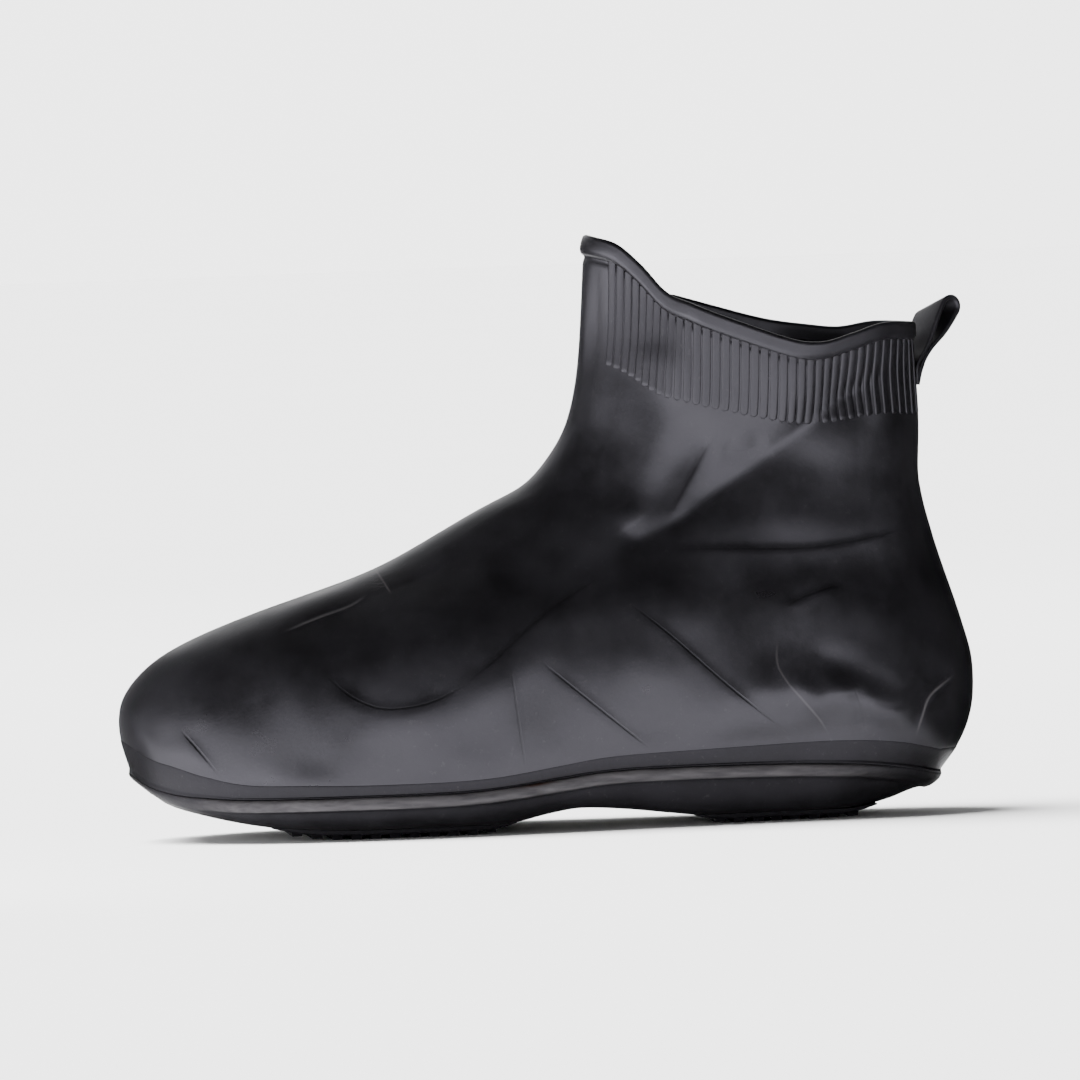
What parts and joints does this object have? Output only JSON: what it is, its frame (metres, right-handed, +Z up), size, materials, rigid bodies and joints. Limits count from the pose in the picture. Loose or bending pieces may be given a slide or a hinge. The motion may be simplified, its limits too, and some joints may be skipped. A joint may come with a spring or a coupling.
{
  "type": "silicone shoe cover",
  "caption": "Ankle-high pull-on rubber shoe cover: thin hollow upper with a ribbed cuff and raised rim, a dished sole with an edge bead and tread pads, and a heel pull loop.",
  "frame": {"origin": "on the floor under the middle of the whole cover", "axes": "+X from toe to heel, +Y towards the inner (big toe) side of this left-foot cover, +Z up"},
  "size_m": [0.2996, 0.1068, 0.2056],
  "materials": {
    "upper": "black moulded silicone rubber, satin, with fine scuffs and soft creases",
    "rand": "black rubber strip, satin",
    "pull_loop": "black rubber strip, satin",
    "outsole": "black moulded rubber, dull satin, with a dusty bead",
    "tread": "black moulded rubber, matte"
  },
  "bodies": {
    "root": {"upper": "upper", "rand": "rand", "pull_loop": "pull_loop", "outsole": "outsole", "forefoot_tread": "tread", "heel_tread": "tread"}
  },
  "joints": []
}
